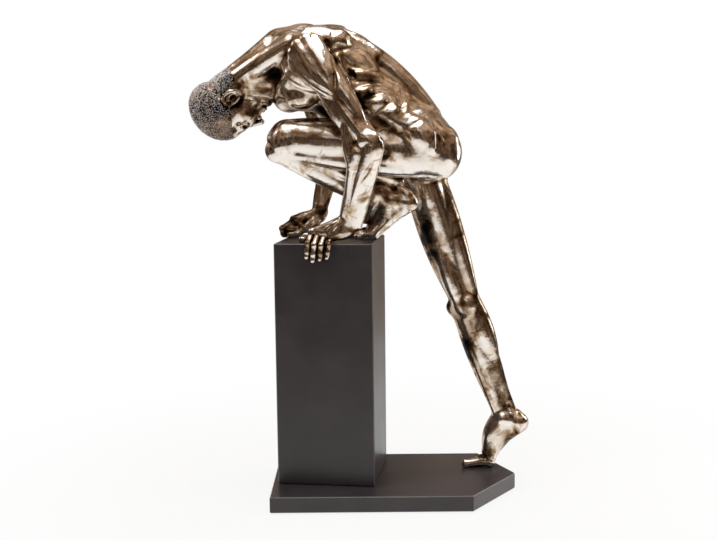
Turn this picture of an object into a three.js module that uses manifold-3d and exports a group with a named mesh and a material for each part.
// A nude man crouching on a tall black pillar, one leg stretched back to the base plate.
// The figure is a bronze-finished statuette made of six castings, joined on dowels at flat seams.
// Frame: +Z up, origin at the centre of the resting face, head towards -X, the man's left side towards -Y.
import * as THREE from "three";
import { mergeVertices } from "three/addons/utils/BufferGeometryUtils.js";
import Module from "manifold-3d";

const wasm = await Module();
wasm.setup();

// Driving dimensions of the stand, in millimetres
const PILLAR_WIDTH = 81.5;
const PILLAR_DEPTH = 84.1;
const PILLAR_HEIGHT = 202; // from the plate's top to the pillar's top
const PILLAR_TURN = -7.6; // degrees about the vertical, as the block sits on its plate
const BASE_THICKNESS = 13.2;
const BASE_FRONT_MARGIN = 24.3; // from the turned pillar's foremost corner, and so on
const BASE_LEFT_MARGIN = 4.3;
const BASE_BACK_MARGIN = 1.3;
const EDGE_CHAMFER = 0.8;
const NOSE_BEYOND_FOOT = 19; // from the ball of the standing foot to the tip of the plate
const NOSE_FRONT_SETBACK = 40.8;
const NOSE_BACK_SETBACK = 25.5;
const NOSE_HALF_WIDTH = 1.5;
const NOSE_DEPTH_SHARE = 0.5; // where the tip lies between the front and the back edge

// Felt pads let into the underside
const PAD_RADIUS = 6;
const PAD_THICKNESS = 2;
const PAD_PROUD = 0.8; // how far a pad stands below the plate
const PAD_EDGE_MARGIN = 13;

// Countersunk screws that hold the pillar
const SCREW_SHANK_RADIUS = 1.8;
const SCREW_HEAD_RADIUS = 3.6;
const SCREW_HEAD_RIM = 0.5;
const SCREW_HEAD_THICKNESS = 2.4;
const SCREW_LENGTH = 34;
const SCREW_POINT = 4;
const SCREW_INSET = 17; // from the pillar's sides to a screw's axis
const SCREW_SINK = 0.6; // of the head above the underside
const CROSS_SLOT_WIDTH = 0.8;
const CROSS_SLOT_LENGTH = 4;
const CROSS_SLOT_DEPTH = 1.2;

// Studs, nut and washer under the feet, pins under the hands, dowels across the seams
const STUD_RADIUS = 2;
const STUD_IN_FOOT = 5;
const STUD_IN_PILLAR = 21;
const STUD_BEYOND_NUT = 0.9;
const WASHER_RADIUS = 4.5;
const WASHER_THICKNESS = 0.8;
const NUT_ACROSS_FLATS = 7;
const NUT_THICKNESS = 3.2;
const PIN_RADIUS = 1;
const PIN_IN_HAND = 2.6;
const PIN_IN_PILLAR = 9;
const DOWEL_RADIUS = 3;
const DOWEL_LENGTH = 22;

// Fits
const SEAM_GAP = 0.3; // between two castings, and under a hand, a foot or the pillar
const SLIP_FIT = 0.3; // round and beyond a dowel, pin, stud, screw or pad

// The pose: joints of the skeleton, in millimetres from the middle of the pillar's top
const LEFT_HIP = [75, -22, 70];
const RIGHT_HIP = [78, 23, 52];
const LEFT_SHOULDER = [-13, -45, 149];
const RIGHT_SHOULDER = [-24, 45, 146];
const HEAD_CENTRE = [-86, 0, 110];
const STRIDE = 136; // from the pillar's axis to the ball of the standing foot
const BALL_HEIGHT = 5.2; // of the ball of a foot above what it stands on
const STANDING_FOOT_OFFSET = 13; // of the standing foot behind the pillar's axis

// Small vector algebra on [x, y, z]
const add = (a, b) => [a[0] + b[0], a[1] + b[1], a[2] + b[2]];
const sub = (a, b) => [a[0] - b[0], a[1] - b[1], a[2] - b[2]];
const times = (a, s) => [a[0] * s, a[1] * s, a[2] * s];
const dot = (a, b) => a[0] * b[0] + a[1] * b[1] + a[2] * b[2];
const cross = (a, b) => [
  a[1] * b[2] - a[2] * b[1],
  a[2] * b[0] - a[0] * b[2],
  a[0] * b[1] - a[1] * b[0],
];
const size = (a) => Math.sqrt(dot(a, a));
const unit = (a) => times(a, 1 / size(a));
const mix = (a, b, t) => add(times(a, 1 - t), times(b, t));
const across = (a, axis) => unit(sub(a, times(axis, dot(a, axis)))); // the part of a square to the axis
const clamp = (v, low, high) => Math.min(high, Math.max(low, v));

// Soft forms, as signed distances in millimetres that are negative inside the flesh

// A muscle: a strand from a to b whose radius swells from start over belly to end.
// bow bends its middle aside, flat squeezes it along face, and peak says where along it the belly lies.
function strand(a, b, [start, belly, end], form = {}) {
  const { bow = [0, 0, 0], flat = 1, face = [0, 0, 1], peak = 0.5 } = form;
  const run = sub(b, a);
  const perLength = 1 / dot(run, run);
  const swell = belly - (start + end) / 2;
  const skew = Math.log(0.5) / Math.log(peak);
  return (p) => {
    const x = p[0] - a[0];
    const y = p[1] - a[1];
    const z = p[2] - a[2];
    const t = clamp((x * run[0] + y * run[1] + z * run[2]) * perLength, 0, 1);
    const s = t ** skew;
    const arch = 4 * s * (1 - s);
    const dx = x - run[0] * t - bow[0] * arch;
    const dy = y - run[1] * t - bow[1] * arch;
    const dz = z - run[2] * t - bow[2] * arch;
    const radius = start + (end - start) * t + swell * arch;
    const far = Math.sqrt(dx * dx + dy * dy + dz * dz);
    if (flat === 1) return far - radius;
    const facing = dx * face[0] + dy * face[1] + dz * face[2];
    const squeezed = Math.sqrt(Math.max(1e-9, far * far + facing * facing * (1 / (flat * flat) - 1)));
    return ((squeezed - radius) * far) / squeezed;
  };
}

// An ellipsoid with half-sizes along the three unit axes.
function lump(centre, halves, axes = WORLD) {
  return (p) => {
    const d = sub(p, centre);
    const q = axes.map((axis, i) => dot(d, axis) / halves[i]);
    const reach = size(q);
    const slope = size(q.map((v, i) => v / halves[i]));
    return slope < 1e-9 ? -Math.min(...halves) : (reach * (reach - 1)) / slope;
  };
}
const UP = [0, 0, 1];
const WORLD = [
  [1, 0, 0],
  [0, 1, 0],
  [0, 0, 1],
];

// Joins distances with a fillet of about k.
function soften(a, b, k) {
  const h = Math.max(k - Math.abs(a - b), 0);
  return Math.min(a, b) - (h * h) / (4 * k);
}
const blend = (k, forms) => (p) => forms.reduce((d, form) => soften(d, form(p), k), 1e3);
const carve = (form, tools, k) => (p) => -tools.reduce((d, tool) => soften(d, tool(p), k), -form(p));

// A bone carries points given as [share along it, forward, outward], in millimetres across.
function bone(start, end, forward, side) {
  const run = sub(end, start);
  const axis = unit(run);
  const front = across(forward, axis);
  const out = times(cross(axis, front), side);
  const at = ([t, f, o]) => add(add(start, times(run, t)), add(times(front, f), times(out, o)));
  const muscle = (from, to, radii, { bow = [0, 0], flat = 1, face = "front", peak = 0.5 } = {}) =>
    strand(at(from), at(to), radii, {
      bow: add(times(front, bow[0]), times(out, bow[1])),
      flat,
      face: face === "front" ? front : out,
      peak,
    });
  return { start, end, axis, front, out, at, muscle };
}

// Lofts a closed skin round a path of [x, y, z, reach]. At each station rays leave the path until the flesh
// ends, or at the station's reach, and step over crevices narrower than a given width. Their lengths are then
// eased towards their neighbours' a given number of times. An end closes flat, or with a dome of rays that
// lean along the path by the given angles, in degrees.
function loft(flesh, path, form) {
  const { sides, stations, sideways, domes = [true, true], crevice = 0, eased = 0, leans = [58, 28] } = form;
  const curve = new THREE.CatmullRomCurve3(path.map(([x, y, z]) => new THREE.Vector3(x, y, z)));
  const reachAt = (u) => {
    const along = u * (path.length - 1);
    const i = Math.min(path.length - 2, Math.floor(along));
    return path[i][3] + (path[i + 1][3] - path[i][3]) * (along - i);
  };
  const ring = (u, lean) => {
    const centre = curve.getPoint(u).toArray();
    const tangent = unit(curve.getTangent(u).toArray());
    const first = across(sideways, tangent);
    const second = cross(tangent, first);
    const rays = Array.from({ length: sides }, (_, i) => {
      const around = (2 * Math.PI * i) / sides;
      const outward = add(times(first, Math.cos(around)), times(second, Math.sin(around)));
      return add(times(outward, Math.cos(lean)), times(tangent, Math.sin(lean)));
    });
    const lengths = rays.map((ray) => fleshAlong(flesh, centre, ray, reachAt(u), crevice));
    return { centre, rays, lengths };
  };
  const pole = (u, way) => {
    const centre = curve.getPoint(u).toArray();
    const ray = times(unit(curve.getTangent(u).toArray()), way);
    return add(centre, times(ray, fleshAlong(flesh, centre, ray, reachAt(u), crevice)));
  };
  const domeRings = (u, way) => leans.map((lean) => ring(u, way * THREE.MathUtils.degToRad(lean)));
  const rings = Array.from({ length: stations }, (_, i) => ring(i / (stations - 1), 0));
  const startPole = domes[0] ? pole(0, -1) : curve.getPoint(0).toArray();
  const endPole = domes[1] ? pole(1, 1) : curve.getPoint(1).toArray();
  if (domes[0]) rings.unshift(...domeRings(0, -1));
  if (domes[1]) rings.push(...domeRings(1, 1).reverse());
  for (let pass = 0; pass < eased; pass++) easeLengths(rings);
  const points = rings.map(({ centre, rays, lengths }) =>
    rays.map((ray, i) => add(centre, times(ray, lengths[i]))),
  );
  return skin(points, startPole, endPole);
}

// Moves each ray's length halfway to the mean of its four neighbours.
function easeLengths(rings) {
  const before = rings.map(({ lengths }) => lengths);
  rings.forEach((ring, r) => {
    const previous = before[Math.max(0, r - 1)];
    const following = before[Math.min(rings.length - 1, r + 1)];
    const own = before[r];
    ring.lengths = own.map((length, i) => {
      const beside = own.at(i - 1) + own[(i + 1) % own.length];
      return length / 2 + (beside + previous[i] + following[i]) / 8;
    });
  });
}

// How far the flesh goes from a point inside it, along a ray.
function fleshAlong(flesh, from, ray, reach, crevice) {
  const depthAt = (r) => flesh(add(from, times(ray, r)));
  let inside = 0;
  let outside = 0.4;
  while (outside < reach) {
    const depth = depthAt(outside);
    if (depth < 0) inside = outside;
    else if (outside - inside > crevice) break;
    outside += Math.max(0.5, -0.6 * depth);
  }
  if (outside >= reach && depthAt(reach) < 0) return reach;
  outside = inside + 0.5;
  while (depthAt(outside) < 0) outside += 0.5;
  for (let i = 0; i < 7; i++) {
    const middle = (inside + outside) / 2;
    if (depthAt(middle) < 0) inside = middle;
    else outside = middle;
  }
  return Math.max(inside, 0.2);
}

// A closed solid from rings of equal length and two poles.
function skin(rings, startPole, endPole) {
  const sides = rings[0].length;
  const points = [...rings.flat(), startPole, endPole];
  const index = [];
  rings.slice(1).forEach((_, r) => {
    for (let i = 0; i < sides; i++) {
      const a = r * sides + i;
      const b = r * sides + ((i + 1) % sides);
      index.push(a, b, b + sides, a, b + sides, a + sides);
    }
  });
  const last = (rings.length - 1) * sides;
  const start = rings.length * sides;
  for (let i = 0; i < sides; i++) {
    const next = (i + 1) % sides;
    index.push(start, next, i, start + 1, last + i, last + next);
  }
  const geometry = new THREE.BufferGeometry();
  geometry.setAttribute("position", new THREE.Float32BufferAttribute(points.flat(), 3));
  geometry.setIndex(index);
  return solid(geometry);
}

// Solids for cutting and joining
function solid(geometry) {
  const bare = geometry.clone();
  bare.deleteAttribute("normal");
  bare.deleteAttribute("uv");
  const merged = mergeVertices(bare, 1e-4);
  const corners = [...merged.index.array];
  const triangles = [];
  for (let i = 0; i < corners.length; i += 3) {
    const [a, b, c] = corners.slice(i, i + 3);
    if (a !== b && b !== c && c !== a) triangles.push(a, b, c);
  }
  const vertProperties = new Float32Array(merged.attributes.position.array);
  const make = (order) =>
    new wasm.Manifold(new wasm.Mesh({ numProp: 3, vertProperties, triVerts: new Uint32Array(order) }));
  const made = make(triangles);
  return made.volume() > 0 ? made : make(triangles.reverse());
}
const moved = (geometry, [x, y, z]) => geometry.translate(x, y, z);
const box = (width, depth, height, centre) =>
  solid(moved(new THREE.BoxGeometry(width, depth, height), centre));
const turnTo = (from, to) =>
  new THREE.Quaternion().setFromUnitVectors(new THREE.Vector3(...from), new THREE.Vector3(...to));

// A round bar from one point to another.
function bar(from, to, radius, sides = 12) {
  const run = sub(to, from);
  const geometry = new THREE.CylinderGeometry(radius, radius, size(run), sides);
  return solid(moved(geometry.applyQuaternion(turnTo([0, 1, 0], unit(run))), mix(from, to, 0.5)));
}

// A turned piece from [radius, height] points, standing at a place.
function revolve(profile, place, sides = 20) {
  const points = profile.map(([radius, height]) => new THREE.Vector2(radius, height));
  const geometry = new THREE.LatheGeometry(points, sides);
  return solid(moved(geometry.rotateX(Math.PI / 2), place));
}
const disc = (radius, thickness, place, sides = 16) =>
  revolve([[0, 0], [radius, 0], [radius, thickness], [0, thickness]], place, sides);

// An upright slab with this outline, all its edges chamfered.
function slab(corners, bottom, top) {
  const shape = new THREE.Shape(corners.map(([x, y]) => new THREE.Vector2(x, y)));
  const geometry = new THREE.ExtrudeGeometry(shape, {
    depth: top - bottom - 2 * EDGE_CHAMFER,
    bevelThickness: EDGE_CHAMFER,
    bevelSize: EDGE_CHAMFER,
    bevelOffset: -EDGE_CHAMFER,
    bevelSegments: 1,
  });
  return solid(moved(geometry, [0, 0, bottom + EDGE_CHAMFER]));
}

// An ellipsoid with half-sizes along the three unit axes.
function ellipsoid(centre, halves, axes) {
  const columns = axes.map((axis, i) => new THREE.Vector3(...times(axis, halves[i])));
  const frame = new THREE.Matrix4().makeBasis(...columns);
  return solid(moved(new THREE.SphereGeometry(1, 9, 6).applyMatrix4(frame), centre));
}

// Everything beyond a plane, as a block on the side that the normal points to.
function beyond(point, normal, extent = 400) {
  const geometry = new THREE.BoxGeometry(extent, extent, extent);
  return solid(moved(geometry.applyQuaternion(turnTo(UP, normal)), add(point, times(normal, extent / 2))));
}
const join = (pieces) => pieces.reduce((a, b) => a.add(b));
const cut = (piece, tools) => tools.reduce((a, b) => a.subtract(b), piece);

// Places on the stand, in the figure's frame: origin at the middle of the pillar's top
const turn = THREE.MathUtils.degToRad(PILLAR_TURN);
const ALONG_FRONT = [Math.cos(turn), Math.sin(turn), 0];
const TO_BACK = [-Math.sin(turn), Math.cos(turn), 0];
const onPillar = (right, back, rise) =>
  add(add(times(ALONG_FRONT, right), times(TO_BACK, back)), times(UP, rise));
const fromFrontEdge = (right, out, rise) => onPillar(right, -PILLAR_DEPTH / 2 - out, rise);
const fromLeftEdge = (inward, back, rise) => onPillar(-PILLAR_WIDTH / 2 + inward, back, rise);
const fromRightEdge = (inward, back, rise) => onPillar(PILLAR_WIDTH / 2 - inward, back, rise);

// The squatting foot stands near the right edge of the pillar's top, the other on the base plate.
const LEFT_FOOT = {
  heel: fromRightEdge(-25, -3, 31),
  ball: fromRightEdge(6.5, 4, BALL_HEIGHT),
  toes: fromRightEdge(25, 6, 3),
  ankle: fromRightEdge(-9, -5, 33.5),
  instep: 8,
  side: -1,
};
const standing = (x, y, z) => [STRIDE + x, STANDING_FOOT_OFFSET + y, z - PILLAR_HEIGHT];
const RIGHT_FOOT = {
  heel: standing(25.5, 1, 37.5),
  ball: standing(0, 0, BALL_HEIGHT),
  toes: standing(-21, 1, 3),
  ankle: standing(12.5, 1, 40),
  instep: 0,
  side: 1,
};
const bent = (start, end, share, aside) => add(mix(start, end, share), aside);
const LEFT_KNEE = bent(LEFT_HIP, LEFT_FOOT.ankle, 0.5, [-96, -3, 30]);
const RIGHT_KNEE = bent(RIGHT_HIP, RIGHT_FOOT.ankle, 0.53, [0.5, 6, 1]);

// The hands: joints of each finger from the knuckle to the tip
const LEFT_WRIST = fromFrontEdge(18.5, -7.5, 17.5);
const RIGHT_WRIST = fromLeftEdge(27, 19, 18.5);
const LEFT_ELBOW = bent(LEFT_SHOULDER, LEFT_WRIST, 0.52, [30, -17, 3]);
const RIGHT_ELBOW = bent(RIGHT_SHOULDER, RIGHT_WRIST, 0.52, [19, 11, 2]);
const LEFT_FINGERS = [
  [[-9, -4.5, 8.6], [-11.5, 2.3, 0.6], [-12.4, 2.4, -6], [-12.6, 2.1, -10.6]],
  [[-3.6, -4.2, 8.8], [-6.4, 2.9, -0.6], [-7.4, 2.6, -8], [-7.6, 2.2, -13.4]],
  [[1.6, -3.8, 7.6], [-0.6, 2.9, -1], [-1.4, 2.6, -7.6], [-1.7, 2.1, -12.2]],
  [[6.6, -3, 5.6], [5.6, 2.6, -0.4], [4.4, 2.4, -6.4], [3.9, 2, -11]],
].map((joints) => joints.map((joint) => fromFrontEdge(...joint)));
const LEFT_THUMB = [
  [7, -10.5, 11],
  [-1, -9.5, 7.4],
  [-11, -9.5, 2.9],
  [-19.4, -10, 2.2],
].map((joint) => fromFrontEdge(...joint));
const RIGHT_FINGERS = [
  [[8.5, 11, 13.6], [-2.6, 10.4, 7], [-2, 10.2, 2.8], [2.6, 10.4, 2.2]],
  [[6.6, 15.6, 14.6], [-4.4, 15, 7.6], [-3.4, 14.8, 3.2], [1.6, 15, 2.2]],
  [[6.8, 20.4, 13.8], [-4, 19.6, 6.8], [-3, 19.4, 2.9], [1.6, 19.8, 2.2]],
  [[8.2, 25, 11.6], [-2, 24.4, 5.8], [-1.4, 24.2, 2.8], [2.6, 24.6, 2.1]],
].map((joints) => joints.map((joint) => fromLeftEdge(...joint)));
const RIGHT_THUMB = [
  [24, 12, 12],
  [18, 9, 8],
  [10, 7.2, 3.6],
  [3.6, 6.8, 2.4],
].map((joint) => fromLeftEdge(...joint));

// Bones
const LEFT_THIGH = bone(LEFT_HIP, LEFT_KNEE, [0, 0, 1], -1);
const LEFT_SHANK = bone(LEFT_KNEE, LEFT_FOOT.ankle, [-0.4, 0, -0.9], -1);
const RIGHT_THIGH = bone(RIGHT_HIP, RIGHT_KNEE, [-1, 0, -0.2], 1);
const RIGHT_SHANK = bone(RIGHT_KNEE, RIGHT_FOOT.ankle, [-1, 0, 0], 1);
const LEFT_UPPER_ARM = bone(LEFT_SHOULDER, LEFT_ELBOW, [-1, 0, -0.6], -1);
const LEFT_FOREARM = bone(LEFT_ELBOW, LEFT_WRIST, [-1, 0.1, 0], -1);
const RIGHT_UPPER_ARM = bone(RIGHT_SHOULDER, RIGHT_ELBOW, [-1, 0, -0.6], 1);
const RIGHT_FOREARM = bone(RIGHT_ELBOW, RIGHT_WRIST, [-1, -0.1, 0], 1);

// Muscles of the leg
const thighFlesh = (thigh) =>
  blend(3.2, [
    thigh.muscle([0, 0, 0], [1, 0, 0], [19, 16.5, 11.5]),
    thigh.muscle([0, 11, 4], [0.9, 8, 0], [4.5, 9, 4]),
    thigh.muscle([0.08, 3, 11], [0.93, 5, 8], [6, 10, 4.5], { peak: 0.45 }),
    thigh.muscle([0.35, 5, -7], [1, 5, -8], [4, 8.6, 5], { peak: 0.62 }),
    thigh.muscle([0, -1, -11], [0.75, -2, -7], [10, 10, 4], { peak: 0.35 }),
    thigh.muscle([0.02, -10, 5], [1, -9, 8], [8, 9, 3], { peak: 0.45 }),
    thigh.muscle([0.02, -10, -4], [1, -9, -8], [8, 9, 3], { peak: 0.45 }),
    thigh.muscle([0, 12, 9], [1, -1, -11], [2.4, 3, 2], { bow: [6, -4] }),
  ]);
// Folded on the calf, the thigh stays thick down to the knee.
const foldedThighFlesh = (thigh) =>
  blend(4, [
    thighFlesh(thigh),
    thigh.muscle([0.25, 4, 0], [1, 4, 0], [14, 19, 15]),
    thigh.muscle([0, 5, 0], [0.6, 5, 0], [19, 19.5, 16]),
  ]);
const kneeFlesh = (thigh, shank) => {
  const tip = unit(add(sub(thigh.axis, shank.axis), times(add(thigh.front, shank.front), 0.4)));
  const knee = thigh.end;
  return blend(3, [
    lump(add(knee, times(thigh.out, 5)), [13, 11.5, 13]),
    lump(add(knee, times(thigh.out, -5)), [13, 11.5, 13]),
    lump(add(knee, times(tip, 10.5)), [6.5, 7, 6.5]),
    strand(add(knee, times(tip, 10)), shank.at([0.16, 9, 0]), [4.5, 3.8, 4]),
  ]);
};
const shankFlesh = (shank) =>
  blend(2.6, [
    shank.muscle([0, 0, 0], [1, 0, 0], [12, 8.6, 7.6]),
    shank.muscle([0.06, 5, 3.5], [0.88, 4, 0], [5, 7, 2.6], { peak: 0.4 }),
    shank.muscle([0.04, 8, -2], [0.96, 4.5, -3.5], [3.6, 3, 3]),
    shank.muscle([-0.04, -6.5, -5.5], [0.6, -7, -3], [6, 9.2, 3], { peak: 0.5 }),
    shank.muscle([-0.04, -6.5, 5.5], [0.56, -7, 3], [6, 8.6, 3], { peak: 0.48 }),
    shank.muscle([0.2, -3, 0], [0.85, -6, 0], [8, 9.4, 4.4], { peak: 0.45 }),
    shank.muscle([0.08, 0, 7.5], [0.92, -2, 5.5], [4, 5.6, 2.6], { peak: 0.4 }),
    shank.muscle([0.5, -8.5, 0], [1.1, -11.5, 0], [4, 3, 3.4]),
    lump(shank.at([0.98, 1.5, -6.8]), [4.2, 4.2, 4.6]),
    lump(shank.at([1.02, -1, 6.6]), [4, 4, 4.6]),
  ]);
// Pressed between thigh and foot, the folded shank bulges in front, under the knee-cap and above the heel.
const foldedShankFlesh = (thigh, shank) => {
  const underCap = add(add(shank.start, times(shank.front, 9)), times(unit(sub(thigh.axis, shank.axis)), 4));
  return blend(2.6, [
    shankFlesh(shank),
    lump(underCap, [10, 9, 10]),
    shank.muscle([-0.02, 7.5, 0], [0.8, 7, 0], [11, 10.6, 7.5]),
    shank.muscle([0.5, -14, 0], [0.98, -17, 0], [8, 9, 6.6]),
  ]);
};

// The foot: heel, instep and ball, with its own up and outward directions
function footFrame({ heel, ball, ankle, side }) {
  const axis = unit(sub(ball, heel));
  const up = across(sub(ankle, heel), axis);
  return { up, out: times(cross(axis, up), side) };
}
function footFlesh(foot) {
  const { heel, ball, ankle, instep } = foot;
  const { up, out } = footFrame(foot);
  const place = (t, rise, outward) => add(add(mix(heel, ball, t), times(up, rise)), times(out, outward));
  return blend(3, [
    strand(heel, place(0.3, 2, 0), [8.4, 8, 7]),
    strand(ankle, place(0.62, 5, 0), [10.4, 9, 6.6]),
    strand(ankle, heel, [9.4, 9, 8]),
    strand(ankle, place(1, 0.8, -6), [7.5, 6.6, 5], { peak: 0.6 }),
    strand(place(0.4, 7, 1), place(1, 0.6, 0), [8, 6.4, 4.6]),
    strand(add(ankle, times(up, instep)), place(0.86, 4 + instep, -2), [9.4, 9.2, 6]),
    strand(place(0.2, 0, 4), place(0.97, -0.6, 7.6), [6, 4.8, 4.2]),
    strand(place(-0.12, 6, 0), place(-0.06, 14, 0), [4.4, 3.6, 3.4]),
  ]);
}
const TOES = [
  { outward: -7.2, length: 1, lift: 1.4, radius: 3.6, knuckle: 0.35 },
  { outward: -1.4, length: 0.92, lift: 1.8, radius: 2.6, knuckle: 0.55 },
  { outward: 2.2, length: 0.8, lift: 1.8, radius: 2.5, knuckle: 0.55 },
  { outward: 5.6, length: 0.66, lift: 1.6, radius: 2.4, knuckle: 0.55 },
  { outward: 8.6, length: 0.5, lift: 1.2, radius: 2.3, knuckle: 0.55 },
];
function toeJoints(foot, toe) {
  const flatOut = across(footFrame(foot).out, UP);
  const ground = foot.ball[2] - BALL_HEIGHT;
  const height = ground + toe.radius * 0.9;
  const root = add(add(foot.ball, times(flatOut, toe.outward)), [0, 0, -0.8]);
  const reached = add(mix(foot.ball, foot.toes, toe.length), times(flatOut, toe.outward * 1.06));
  const tip = [reached[0], reached[1], height];
  return [root, add(mix(root, tip, toe.knuckle), [0, 0, toe.lift]), tip];
}

// Muscles of the arm
const upperArmFlesh = (arm) =>
  blend(2.8, [
    arm.muscle([0, 0, 0], [1, 0, 0], [12.5, 9.6, 8.4]),
    arm.muscle([0.18, 5.5, -1], [0.98, 4, -1], [5, 9, 3.6], { peak: 0.58 }),
    arm.muscle([0.1, -5.5, -4], [0.9, -5, -1], [5, 8, 4], { peak: 0.45 }),
    arm.muscle([0.15, -5, 4], [0.9, -5, 2], [5, 7.6, 4], { peak: 0.45 }),
    arm.muscle([0.45, 2, 5], [1, 3, 4], [4, 5.6, 4]),
    arm.muscle([-0.12, 8, 3], [0.46, 3.5, 6], [7, 9, 3], { peak: 0.42 }),
    arm.muscle([-0.13, 0, 7], [0.5, 0.5, 7], [8, 9.5, 3], { peak: 0.42 }),
    arm.muscle([-0.1, -8, 3], [0.44, -2.5, 6], [7, 8.8, 3], { peak: 0.42 }),
  ]);
const elbowFlesh = (upper, lower) => {
  const tip = unit(sub(upper.axis, lower.axis));
  const elbow = upper.end;
  return blend(2.4, [
    lump(elbow, [9.4, 9.4, 9.4]),
    lump(add(elbow, times(tip, 7.5)), [4.6, 4.6, 4.8]),
    lump(add(elbow, times(upper.out, -7)), [4.6, 4.6, 4.6]),
    lump(add(elbow, times(upper.out, 6.5)), [4.8, 4.8, 4.8]),
  ]);
};
const forearmFlesh = (lower) =>
  blend(2.4, [
    lower.muscle([0, 0, 0], [1, 0, 0], [9, 8, 6.2]),
    lower.muscle([-0.16, 5, 4], [0.78, 2, 2.5], [4.5, 7.2, 3], { peak: 0.38 }),
    lower.muscle([-0.02, 3, -5.5], [0.88, 2, -2.5], [5, 7.6, 3], { peak: 0.36 }),
    lower.muscle([0, -4.5, 4.5], [0.9, -1.5, 3], [5, 7, 3], { peak: 0.36 }),
    lower.muscle([0, -6.5, -3], [0.95, -2.5, -3], [4.6, 5.4, 3.6], { peak: 0.36 }),
    lump(lower.at([0.95, -3, 0]), [5, 5, 5]),
  ]);
// The arm that carries the weight is thicker at the back, from the elbow to the heel of the hand.
const bracedForearmFlesh = (lower) =>
  blend(2.4, [forearmFlesh(lower), lower.muscle([0.05, -6.4, 0], [1, -6.8, 0], [9.2, 8.4, 6.8])]);

// The palm with its knuckles and the ball of the thumb
const handFlesh = (wrist, fingers, thumb) =>
  blend(1.8, [
    ...fingers.map(([knuckle], i) => strand(mix(wrist, knuckle, 0.06 * i), knuckle, [4.6, 3.8, 3.2])),
    strand(wrist, mix(fingers[1][0], fingers[2][0], 0.5), [6.2, 5, 3.6]),
    strand(thumb[0], thumb[1], [4.6, 4.8, 3.2]),
    strand(wrist, thumb[0], [5, 4.6, 4.4]),
    strand(thumb[1], fingers[0][0], [3, 2.6, 2.8]),
  ]);
const fingerFlesh = (joints, girth) =>
  blend(0.8, [
    strand(joints[0], joints[1], [girth + 0.5, girth, girth + 0.1]),
    strand(joints[1], joints[2], [girth + 0.15, girth - 0.15, girth]),
    strand(joints[2], joints[3], [girth, girth - 0.1, girth - 0.4]),
  ]);

// The trunk, from the pelvis over the bent back to the base of the neck
const sides = (make) => [-1, 1].flatMap(make);
const SPINE = [
  [84, 0, 62],
  [78, 0, 76],
  [66, 0, 95],
  [50, 0, 111],
  [30, 0, 126],
  [8, 0, 138],
  [-14, 0, 145],
  [-34, 0, 150],
  [-50, 0, 147],
  [-66, 0, 137],
];
const SPINE_REACH = [40, 46, 52, 56, 56, 56, 56, 56, 44, 30];
const trunkFlesh = blend(3.6, [
  // the ribcage, the shoulder girdle, the belly and the pelvis
  lump([2, 0, 143], [44, 41, 31], tilted(16)),
  lump([-20, 0, 148], [27, 45, 26], tilted(6)),
  lump([-22, 0, 160], [24, 30, 19], tilted(-8)),
  strand([22, 0, 132], [68, 0, 90], [33, 32, 35], { flat: 0.74, face: unit([0.7, 0, 0.7]) }),
  lump([77, 0, 80], [33, 42, 27], tilted(56)),
  ...sides((s) => [
    // the buttocks, the hip muscles above them, and the crest of the hip
    lump(s < 0 ? [88, -20, 72] : [85, 22, 66], [21, 20, 23]),
    strand([64, s * 33, 97], [82, s * 36, 78], [8, 12, 9]),
    // the two columns beside the spine
    strand([86, s * 7, 104], [12, s * 9, 169], [6, 9, 6], { bow: [3.2, 0, 3.2] }),
    // the broad back muscle, from the waist to the armpit
    strand([52, s * 18, 124], [-8, s * 44, 138], [8, 12, 8], { flat: 0.7, face: [0.2, s * 0.9, 0.4] }),
    // the shoulder blade and the muscles that cover it
    lump([-2, s * 27, 164], [22, 17, 10], tilted(12)),
    strand([12, s * 24, 158], [-12, s * 42, 152], [7, 9, 7]),
    // the yoke between the neck and the shoulders
    strand([-42, s * 6, 161], [-20, s * 38, 160], [9, 11, 8]),
    strand([10, s * 4, 172], [-16, s * 34, 164], [5, 8, 6]),
    // the chest
    strand([-24, s * 12, 119], [-24, s * 40, 134], [11, 15, 9], { flat: 0.8 }),
    lump([-32, s * 11, 116], [11, 12, 11]),
    // the flank and the straight belly muscle
    strand([20, s * 33, 122], [64, s * 33, 92], [9, 10, 9]),
    strand([-4, s * 9, 113], [60, s * 10, 78], [10, 13, 11], { bow: [2, 0, 2] }),
    strand([6, s * 27, 116], [60, s * 26, 84], [10, 12, 10]),
  ]),
]);

// Axes of a lump that is tipped head-end down by an angle, in degrees
function tilted(degrees) {
  const a = THREE.MathUtils.degToRad(degrees);
  return [
    [Math.cos(a), 0, -Math.sin(a)],
    [0, 1, 0],
    [Math.sin(a), 0, Math.cos(a)],
  ];
}

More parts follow.
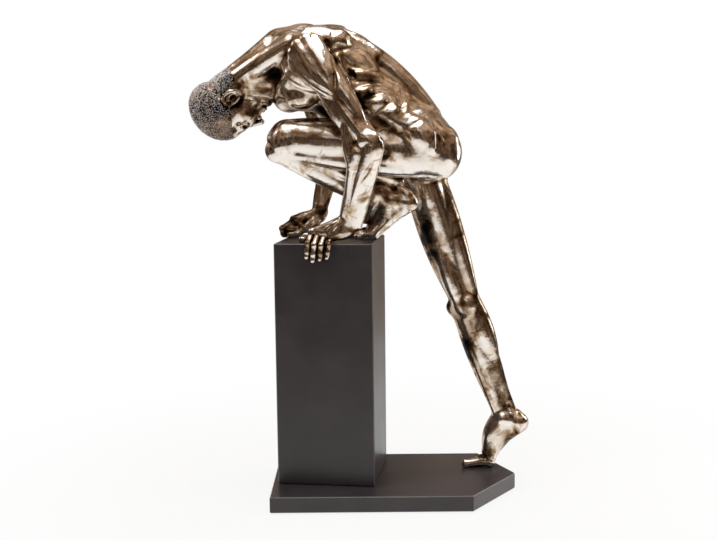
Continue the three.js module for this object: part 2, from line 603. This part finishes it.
// The head hangs face down, its crown towards the lower left.
const HEAD_UP = unit([-0.75, 0, -0.66]);
const HEAD_FACE = unit([0.66, 0, -0.75]);
const HEAD_AXES = [HEAD_FACE, [0, 1, 0], HEAD_UP];
const inHead = (up, face, aside) =>
  add(add(HEAD_CENTRE, times(HEAD_UP, up)), add(times(HEAD_FACE, face), [0, aside, 0]));
const NECK_BASE = [-38, 0, 159];
const SKULL_BASE = inHead(-13, -7, 0);
const eyeSocket = (s) => lump(inHead(-7, 22, s * 8.2), [4.2, 5, 3.4], HEAD_AXES);
const headFlesh = carve(
  blend(2.6, [
    // the skull, the face below it and the jaw
    lump(inHead(6.5, -3.5, 0), [26.5, 21.5, 21.5], HEAD_AXES),
    lump(inHead(-8, 6.5, 0), [18, 17.5, 24], HEAD_AXES),
    strand(inHead(-18, -1, -14), inHead(-29.5, 14, -5), [4.5, 4.6, 5]),
    strand(inHead(-18, -1, 14), inHead(-29.5, 14, 5), [4.5, 4.6, 5]),
    lump(inHead(-29.5, 17.5, 0), [5.4, 6.4, 4.6], HEAD_AXES),
    lump(inHead(-20, 5, 0), [15, 12.5, 9], HEAD_AXES),
    // the brow, the nose, the cheekbones and the lips
    strand(inHead(-3, 21, -9), inHead(-3, 21, 9), [2.6, 3.4, 2.6]),
    strand(inHead(-4.5, 22.5, 0), inHead(-16.4, 28.4, 0), [1.9, 2.2, 3]),
    strand(inHead(-17, 25, -2.4), inHead(-17, 25, 2.4), [2, 2.6, 2]),
    lump(inHead(-12.5, 17.5, -10.5), [5, 4.6, 4.4], HEAD_AXES),
    lump(inHead(-12.5, 17.5, 10.5), [5, 4.6, 4.4], HEAD_AXES),
    strand(inHead(-22.4, 21.8, -4.6), inHead(-22.4, 21.8, 4.6), [1.3, 2.2, 1.3]),
  ]),
  [eyeSocket(-1), eyeSocket(1)],
  1.5,
);
const neckFlesh = blend(3, [
  strand(NECK_BASE, SKULL_BASE, [16.5, 15, 15]),
  strand([-44, 0, 160], inHead(-10, -18, 0), [9, 8, 8]),
  strand([-34, -14, 140], inHead(-12, -8, -15), [4.4, 5, 4.4]),
  strand([-34, 14, 140], inHead(-12, -8, 15), [4.4, 5, 4.4]),
]);

// Each seam is a plane across a limb: the body side keeps what lies before it, the limb what lies beyond.
const seam = (from, to, share) => ({ point: mix(from, to, share), normal: unit(sub(to, from)) });
const SEAMS = {
  neck: seam(NECK_BASE, SKULL_BASE, 0.42),
  leftArm: seam(LEFT_SHOULDER, LEFT_ELBOW, 0.52),
  rightArm: seam(RIGHT_SHOULDER, RIGHT_ELBOW, 0.52),
  leftThigh: seam(LEFT_HIP, LEFT_KNEE, 0.36),
  rightThigh: seam(RIGHT_HIP, RIGHT_KNEE, 0.36),
};
const alongSeam = ({ point, normal }, distance) => add(point, times(normal, distance));
const bodySide = (part, place, width) =>
  part.subtract(beyond(alongSeam(place, -SEAM_GAP / 2), place.normal, width));
const limbSide = (part, place, gap = SEAM_GAP) =>
  part.subtract(beyond(alongSeam(place, gap / 2), times(place.normal, -1)));
const seamBar = (place, halfLength, radius) =>
  bar(alongSeam(place, -halfLength), alongSeam(place, halfLength), radius);
const dowel = (place) => seamBar(place, DOWEL_LENGTH / 2, DOWEL_RADIUS);
const dowelHole = (place) => seamBar(place, DOWEL_LENGTH / 2 + SLIP_FIT, DOWEL_RADIUS + SLIP_FIT);

const reaching = (point, reach) => [...point, reach];
const limbPath = (limb, shares, reaches) =>
  shares.map((share, i) => reaching(limb.at([share, 0, 0]), reaches[i]));

// Near the body a limb swells to meet it, by no more than a fillet's width.
const rooted = (limb, body, fillet) => {
  const both = blend(fillet, [limb, body]);
  return (p) => Math.max(both(p), limb(p) - fillet / 2);
};

const DIGIT_FORM = { sides: 6, leans: [42] };
function footSolids(foot) {
  const { heel, ball } = foot;
  const path = [reaching(heel, 20), reaching(mix(heel, ball, 0.5), 30), reaching(ball, 21)];
  const sideways = footFrame(foot).out;
  const body = loft(footFlesh(foot), path, { sides: 14, stations: 7, sideways, eased: 1 });
  const toes = TOES.map((toe) => {
    const joints = toeJoints(foot, toe);
    const [root, knuckle, tip] = joints;
    const flesh = blend(1, [
      strand(root, knuckle, [toe.radius * 1.1, toe.radius, toe.radius]),
      strand(knuckle, tip, [toe.radius, toe.radius, toe.radius * 0.9]),
    ]);
    const spine = joints.map((joint) => reaching(joint, 6));
    return loft(flesh, spine, { ...DIGIT_FORM, stations: 4, sideways: UP });
  });
  return [body, ...toes];
}

// The standing leg is one sweep from the seam to the ankle; the folded one is two that meet at the knee.
function straightLeg(thigh, shank, foot) {
  const flesh = blend(3, [thighFlesh(thigh), kneeFlesh(thigh, shank), shankFlesh(shank)]);
  const path = [
    ...limbPath(thigh, [0.25, 0.5, 0.8], [32, 32, 28]),
    ...limbPath(shank, [0.05, 0.35, 0.7, 1.02], [26, 24, 20, 13]),
  ];
  const form = { sides: 18, stations: 21, sideways: thigh.out, domes: [false, true], eased: 1 };
  return join([limbSide(loft(flesh, path, form), SEAMS.rightThigh), ...footSolids(foot)]);
}
function foldedThigh(thigh, shank, growth, gap) {
  const flesh = blend(3, [foldedThighFlesh(thigh), kneeFlesh(thigh, shank)]);
  const grown = (p) => flesh(p) - growth;
  const path = limbPath(thigh, [0.25, 0.6, 0.97], [34, 34, 28]);
  const form = { sides: 18, stations: 10, sideways: thigh.out, domes: [false, true], eased: 1 };
  return limbSide(loft(grown, path, form), SEAMS.leftThigh, gap);
}
function foldedShank(thigh, shank, growth) {
  const flesh = foldedShankFlesh(thigh, shank);
  const grown = (p) => flesh(p) - growth;
  const path = limbPath(shank, [0.02, 0.5, 1.02], [24, 26, 21]);
  return loft(grown, path, { sides: 16, stations: 11, sideways: shank.out, eased: 1 });
}
const foldedLeg = (thigh, shank, foot) =>
  join([foldedThigh(thigh, shank, 0, SEAM_GAP), foldedShank(thigh, shank, 0), ...footSolids(foot)]);

function armSweep({ upper, lower, forearm, place }, growth) {
  const flesh = blend(2.6, [upperArmFlesh(upper), elbowFlesh(upper, lower), forearm(lower)]);
  const grown = (p) => flesh(p) - growth;
  const inner = add(upper.end, times(unit(sub(upper.axis, lower.axis)), -1.5));
  const path = [
    ...limbPath(upper, [0.35, 0.7], [24, 20]),
    reaching(inner, 17),
    ...limbPath(lower, [0.3, 0.65, 1], [18, 15, 11]),
  ];
  const form = { sides: 14, stations: 17, sideways: upper.out, domes: [false, true], eased: 1 };
  return limbSide(loft(grown, path, form), place);
}
const armSolid = (arm) => join([armSweep(arm, 0), ...handSolids(arm)]);
function handSolids({ wrist, fingers, thumb, girth, filling }) {
  const middle = mix(fingers[1][0], fingers[2][0], 0.5);
  const path = [reaching(wrist, 9), reaching(mix(wrist, middle, 0.5), 15), reaching(middle, 13)];
  const knuckles = unit(sub(fingers[3][0], fingers[0][0]));
  const palm = loft(handFlesh(wrist, fingers, thumb), path, { sides: 14, stations: 6, sideways: knuckles });
  const digit = (joints, radius) => {
    const spine = joints.map((joint) => reaching(joint, 5));
    return loft(fingerFlesh(joints, radius), spine, { ...DIGIT_FORM, stations: 6, sideways: DIGIT_SIDE });
  };
  const digits = fingers.map((joints, i) => digit(joints, girth * FINGER_GIRTHS[i]));
  return [palm, ...digits, digit(thumb, girth * THUMB_GIRTH), ...filling];
}
const DIGIT_SIDE = unit([0.3, 1, 0.2]);
const FINGER_GIRTHS = [1, 1.04, 1, 0.9];
const THUMB_GIRTH = 1.15;
// The right hand is a loose fist, closed between its palm, thumb and curled fingers.
const FIST = ellipsoid(fromLeftEdge(9, 17, 7.8), [10.5, 8.5, 5], [onPillar(1, 0, 0), onPillar(0, 1, 0), UP]);
const LEFT_ARM = {
  upper: LEFT_UPPER_ARM,
  lower: LEFT_FOREARM,
  forearm: bracedForearmFlesh,
  wrist: LEFT_WRIST,
  fingers: LEFT_FINGERS,
  thumb: LEFT_THUMB,
  girth: 2.1,
  filling: [],
  place: SEAMS.leftArm,
};
const RIGHT_ARM = {
  upper: RIGHT_UPPER_ARM,
  lower: RIGHT_FOREARM,
  forearm: forearmFlesh,
  wrist: RIGHT_WRIST,
  fingers: RIGHT_FINGERS,
  thumb: RIGHT_THUMB,
  girth: 2.2,
  filling: [FIST],
  place: SEAMS.rightArm,
};

// The trunk is one sweep from the pelvis to the neck, and each limb's root grows out of it to its seam.
function trunkSolid() {
  const flesh = blend(5, [trunkFlesh, neckFlesh]);
  const path = SPINE.map((point, i) => reaching(point, SPINE_REACH[i]));
  const form = { sides: 32, stations: 23, sideways: [0, -1, 0], domes: [true, false], crevice: 4, eased: 1 };
  return bodySide(loft(flesh, path, form), SEAMS.neck, 42);
}
function limbRoot(limb, flesh, inside, shares, reach, place) {
  const path = [reaching(inside, reach / 2), ...limbPath(limb, shares, [reach, reach, reach])];
  const form = { sides: 15, stations: 6, sideways: limb.out, domes: [true, false], crevice: 3, eased: 1 };
  return bodySide(loft(rooted(flesh, trunkFlesh, 9), path, form), place);
}
function torsoSolid() {
  const leftThigh = foldedThighFlesh(LEFT_THIGH);
  const rightThigh = thighFlesh(RIGHT_THIGH);
  const leftArm = upperArmFlesh(LEFT_UPPER_ARM);
  const rightArm = upperArmFlesh(RIGHT_UPPER_ARM);
  return join([
    trunkSolid(),
    limbRoot(LEFT_THIGH, leftThigh, [84, -20, 72], [0.1, 0.3, 0.5], 34, SEAMS.leftThigh),
    limbRoot(RIGHT_THIGH, rightThigh, [78, 20, 68], [0.05, 0.25, 0.5], 34, SEAMS.rightThigh),
    limbRoot(LEFT_UPPER_ARM, leftArm, [-16, -30, 154], [0.05, 0.3, 0.65], 28, SEAMS.leftArm),
    limbRoot(RIGHT_UPPER_ARM, rightArm, [-24, 30, 151], [0.05, 0.3, 0.65], 28, SEAMS.rightArm),
  ]);
}

// The head is a sweep from the chin to the crown, on a neck that ends at the neck's seam.
function headSolid() {
  const headPath = [
    reaching(inHead(-25, 9, 0), 24),
    reaching(inHead(-14, 3, 0), 34),
    reaching(inHead(0, -1, 0), 36),
    reaching(inHead(13, -3, 0), 30),
  ];
  const head = loft(headFlesh, headPath, { sides: 24, stations: 12, sideways: [0, -1, 0] });
  const neckPath = [reaching(NECK_BASE, 24), reaching(SKULL_BASE, 24), reaching(inHead(-8, -3, 0), 20)];
  const form = { sides: 16, stations: 7, sideways: [0, -1, 0], domes: [false, true] };
  const neck = loft(neckFlesh, neckPath, form);
  return join([head, limbSide(neck, SEAMS.neck), ear(-1), ear(1)]);
}

// An ear: a tilted shell with a bowl and a lobe.
function ear(s) {
  const rim = unit(add(HEAD_UP, times(HEAD_FACE, -0.3)));
  const forward = across(HEAD_FACE, rim);
  const outward = cross(rim, forward);
  const axes = [forward, outward, rim];
  const place = (along, ahead, out) =>
    add(inHead(-12, -1, s * (18.2 + out)), add(times(rim, along), times(forward, ahead)));
  const shell = join([
    ellipsoid(place(1.6, 0, 0), [5.2, 2.6, 6.6], axes),
    ellipsoid(place(-5, 0.8, -0.4), [2.8, 2, 3.2], axes),
  ]);
  return shell.subtract(ellipsoid(place(1.4, 0.8, 2.4), [3.2, 2.2, 4.6], axes));
}

// The plate's edges, seen from above, round the turned pillar and the standing foot
const HALF_ACROSS = (PILLAR_WIDTH * Math.cos(turn) + PILLAR_DEPTH * Math.abs(Math.sin(turn))) / 2;
const HALF_BACK = (PILLAR_WIDTH * Math.abs(Math.sin(turn)) + PILLAR_DEPTH * Math.cos(turn)) / 2;
const PLATE = {
  left: -HALF_ACROSS - BASE_LEFT_MARGIN,
  right: STRIDE + NOSE_BEYOND_FOOT,
  front: -HALF_BACK - BASE_FRONT_MARGIN,
  back: HALF_BACK + BASE_BACK_MARGIN,
  top: -PILLAR_HEIGHT,
  bottom: -PILLAR_HEIGHT - BASE_THICKNESS,
};
const PLATE_CENTRE = [(PLATE.left + PLATE.right) / 2, (PLATE.front + PLATE.back) / 2];
const NOSE_Y = THREE.MathUtils.lerp(PLATE.front, PLATE.back, NOSE_DEPTH_SHARE);
const PLATE_OUTLINE = [
  [PLATE.left, PLATE.front],
  [PLATE.right - NOSE_FRONT_SETBACK, PLATE.front],
  [PLATE.right, NOSE_Y - NOSE_HALF_WIDTH],
  [PLATE.right, NOSE_Y + NOSE_HALF_WIDTH],
  [PLATE.right - NOSE_BACK_SETBACK, PLATE.back],
  [PLATE.left, PLATE.back],
];
const PAD_PLACES = [
  PLATE_CENTRE,
  [PLATE.left + PAD_EDGE_MARGIN, PLATE.front + PAD_EDGE_MARGIN],
  [PLATE.right - NOSE_FRONT_SETBACK - PAD_EDGE_MARGIN, PLATE.front + PAD_EDGE_MARGIN],
  [PLATE.right - NOSE_BACK_SETBACK - PAD_EDGE_MARGIN, PLATE.back - PAD_EDGE_MARGIN],
  [PLATE.left + PAD_EDGE_MARGIN, PLATE.back - PAD_EDGE_MARGIN],
];
const SCREW_PLACES = [
  [-1, -1],
  [1, -1],
  [1, 1],
  [-1, 1],
].map(([right, back]) => {
  const across = right * (PILLAR_WIDTH / 2 - SCREW_INSET);
  return onPillar(across, back * (PILLAR_DEPTH / 2 - SCREW_INSET), PLATE.bottom + SCREW_SINK);
});

// Hardware
const pad = ([x, y]) => disc(PAD_RADIUS, PAD_THICKNESS, [x, y, PLATE.bottom - PAD_PROUD]);
const padRecess = ([x, y]) =>
  disc(PAD_RADIUS + SLIP_FIT, PAD_THICKNESS + SLIP_FIT, [x, y, PLATE.bottom - PAD_PROUD]);

// A countersunk screw, or the hole for one, which opens through the underside
function screwForm(place, play) {
  const shank = SCREW_SHANK_RADIUS + play;
  const head = SCREW_HEAD_RADIUS + play;
  const underside = play > 0 ? -2 * SCREW_SINK : 0;
  const profile = [
    [0, underside],
    [head, underside],
    [head, SCREW_HEAD_RIM],
    [shank, SCREW_HEAD_THICKNESS],
    [shank, SCREW_LENGTH - SCREW_POINT],
    [0, SCREW_LENGTH + 2 * play],
  ];
  return revolve(profile, place, 10);
}
function screw(place) {
  const slots = [
    [CROSS_SLOT_LENGTH, CROSS_SLOT_WIDTH],
    [CROSS_SLOT_WIDTH, CROSS_SLOT_LENGTH],
  ].map(([width, depth]) => box(width, depth, 2 * CROSS_SLOT_DEPTH, place));
  return cut(screwForm(place, 0), slots);
}

// A stud from a point in a foot down to a depth, a pin from a hand into the pillar, and their holes
const upright = ([x, y], top, bottom, radius, play) =>
  bar([x, y, bottom - play], [x, y, top + play], radius + play);
const squatStud = (play) => upright(LEFT_FOOT.ball, STUD_IN_FOOT, -STUD_IN_PILLAR, STUD_RADIUS, play);
const leftPin = (play) => upright(LEFT_PIN_PLACE, PIN_IN_HAND, -PIN_IN_PILLAR, PIN_RADIUS, play);
const rightPin = (play) => upright(RIGHT_PIN_PLACE, PIN_IN_HAND, -PIN_IN_PILLAR, PIN_RADIUS, play);
const LEFT_PIN_PLACE = mix(LEFT_THUMB[2], LEFT_THUMB[3], 0.5);
const RIGHT_PIN_PLACE = mix(RIGHT_THUMB[2], RIGHT_THUMB[3], 0.45);

// The standing foot's stud passes the plate to a washer and a nut in a pocket of the underside.
const POCKET_DEPTH = WASHER_THICKNESS + NUT_THICKNESS + STUD_BEYOND_NUT + 3 * SEAM_GAP;
const POCKET_TOP = PLATE.bottom + POCKET_DEPTH;
const WASHER_BOTTOM = POCKET_TOP - SEAM_GAP - WASHER_THICKNESS;
const NUT_BOTTOM = WASHER_BOTTOM - SEAM_GAP - NUT_THICKNESS;
const standingStud = (play) =>
  upright(RIGHT_FOOT.ball, PLATE.top + STUD_IN_FOOT, NUT_BOTTOM - STUD_BEYOND_NUT, STUD_RADIUS, play);
const pocket = () => {
  const [x, y] = RIGHT_FOOT.ball;
  return disc(WASHER_RADIUS + SLIP_FIT, 2 * POCKET_DEPTH, [x, y, POCKET_TOP - 2 * POCKET_DEPTH]);
};
const washer = () => {
  const [x, y] = RIGHT_FOOT.ball;
  return disc(WASHER_RADIUS, WASHER_THICKNESS, [x, y, WASHER_BOTTOM]).subtract(standingStud(SLIP_FIT));
};
const nut = () => {
  const [x, y] = RIGHT_FOOT.ball;
  const acrossCorners = NUT_ACROSS_FLATS / Math.cos(Math.PI / 6);
  const hexagon = disc(acrossCorners / 2, NUT_THICKNESS, [x, y, NUT_BOTTOM], 6);
  return hexagon.subtract(standingStud(SLIP_FIT));
};

const basePlate = () =>
  cut(slab(PLATE_OUTLINE, PLATE.bottom, PLATE.top), [
    ...PAD_PLACES.map(padRecess),
    ...SCREW_PLACES.map((place) => screwForm(place, SLIP_FIT)),
    standingStud(SLIP_FIT),
    pocket(),
  ]);
function pillar() {
  const right = PILLAR_WIDTH / 2;
  const back = PILLAR_DEPTH / 2;
  const corners = [
    [right - EDGE_CHAMFER, -back],
    [right, EDGE_CHAMFER - back],
    [right, back - EDGE_CHAMFER],
    [right - EDGE_CHAMFER, back],
    [EDGE_CHAMFER - right, back],
    [-right, back - EDGE_CHAMFER],
    [-right, EDGE_CHAMFER - back],
    [EDGE_CHAMFER - right, -back],
  ].map(([x, y]) => onPillar(x, y, 0));
  const holes = SCREW_PLACES.map((place) => screwForm(place, SLIP_FIT));
  const block = slab(corners, PLATE.top + SEAM_GAP, 0);
  return cut(block, [...holes, squatStud(SLIP_FIT), leftPin(SLIP_FIT), rightPin(SLIP_FIT)]);
}

// The stand with the gap that a hand or a foot keeps to it, as blocks that cut the castings
const pillarClearance = () => {
  const grow = 2 * SEAM_GAP;
  const block = new THREE.BoxGeometry(PILLAR_WIDTH + grow, PILLAR_DEPTH + grow, PILLAR_HEIGHT);
  return solid(moved(block, [0, 0, SEAM_GAP - PILLAR_HEIGHT / 2]).rotateZ(turn));
};
const plateClearance = () => beyond([0, 0, PLATE.top + SEAM_GAP], [0, 0, -1]);

// The six castings, holed for their dowels, studs and pins
const torsoCasting = () => {
  const thigh = foldedThigh(LEFT_THIGH, LEFT_SHANK, 2 * SEAM_GAP, -SEAM_GAP);
  const shank = foldedShank(LEFT_THIGH, LEFT_SHANK, 2 * SEAM_GAP);
  return cut(torsoSolid(), [thigh, shank, ...Object.values(SEAMS).map(dowelHole)]);
};
const headCasting = () => cut(headSolid(), [dowelHole(SEAMS.neck)]);
const leftArmCasting = () =>
  cut(armSolid(LEFT_ARM), [pillarClearance(), dowelHole(SEAMS.leftArm), leftPin(SLIP_FIT)]);
const rightArmCasting = () =>
  cut(armSolid(RIGHT_ARM), [pillarClearance(), dowelHole(SEAMS.rightArm), rightPin(SLIP_FIT)]);
const leftLegCasting = () => {
  const leg = foldedLeg(LEFT_THIGH, LEFT_SHANK, LEFT_FOOT);
  const forearm = armSweep(LEFT_ARM, 2 * SEAM_GAP);
  return cut(leg, [forearm, pillarClearance(), dowelHole(SEAMS.leftThigh), squatStud(SLIP_FIT)]);
};
const rightLegCasting = () => {
  const leg = straightLeg(RIGHT_THIGH, RIGHT_SHANK, RIGHT_FOOT);
  return cut(leg, [plateClearance(), dowelHole(SEAMS.rightThigh), standingStud(SLIP_FIT)]);
};

// Finishes: the figure is polished bronze over a dark patina, the stand matt black
const BRONZE = new THREE.MeshStandardMaterial({ color: "#9a7d5c", metalness: 1, roughness: 0.24 });
const BLACK = new THREE.MeshStandardMaterial({ color: "#343032", metalness: 0, roughness: 0.7 });
const STEEL = new THREE.MeshStandardMaterial({ color: "#8f9296", metalness: 1, roughness: 0.35 });
const FELT = new THREE.MeshStandardMaterial({ color: "#1d1d1f", metalness: 0, roughness: 1 });

function named(name, made, material) {
  const { numProp, vertProperties, triVerts } = made.getMesh();
  const points = [];
  for (let i = 0; i < vertProperties.length; i += numProp) points.push(...vertProperties.slice(i, i + 3));
  const geometry = new THREE.BufferGeometry();
  geometry.setAttribute("position", new THREE.Float32BufferAttribute(points, 3));
  geometry.setIndex([...triVerts]);
  geometry.computeVertexNormals();
  const mesh = new THREE.Mesh(geometry, material);
  mesh.name = name;
  return mesh;
}

// Everything above is placed from the middle of the pillar's top; the part's own origin is on the surface
// that it stands on, below the centre of the plate.
const assembly = new THREE.Group();
assembly.position.set(-PLATE_CENTRE[0], -PLATE_CENTRE[1], PAD_PROUD - PLATE.bottom);
assembly.add(
  named("base_plate", basePlate(), BLACK),
  named("pillar", pillar(), BLACK),
  ...PAD_PLACES.map((place, i) => named(`felt_pad_${i + 1}`, pad(place), FELT)),
  ...SCREW_PLACES.map((place, i) => named(`pillar_screw_${i + 1}`, screw(place), STEEL)),
  named("torso_casting", torsoCasting(), BRONZE),
  named("head_casting", headCasting(), BRONZE),
  named("left_arm_casting", leftArmCasting(), BRONZE),
  named("right_arm_casting", rightArmCasting(), BRONZE),
  named("left_leg_casting", leftLegCasting(), BRONZE),
  named("right_leg_casting", rightLegCasting(), BRONZE),
  named("neck_dowel", dowel(SEAMS.neck), STEEL),
  named("left_arm_dowel", dowel(SEAMS.leftArm), STEEL),
  named("right_arm_dowel", dowel(SEAMS.rightArm), STEEL),
  named("left_thigh_dowel", dowel(SEAMS.leftThigh), STEEL),
  named("right_thigh_dowel", dowel(SEAMS.rightThigh), STEEL),
  named("squatting_foot_stud", squatStud(0), STEEL),
  named("standing_foot_stud", standingStud(0), STEEL),
  named("standing_foot_washer", washer(), STEEL),
  named("standing_foot_nut", nut(), STEEL),
  named("left_hand_pin", leftPin(0), STEEL),
  named("right_hand_pin", rightPin(0), STEEL),
);
const statue = new THREE.Group();
statue.add(assembly);
export default statue;
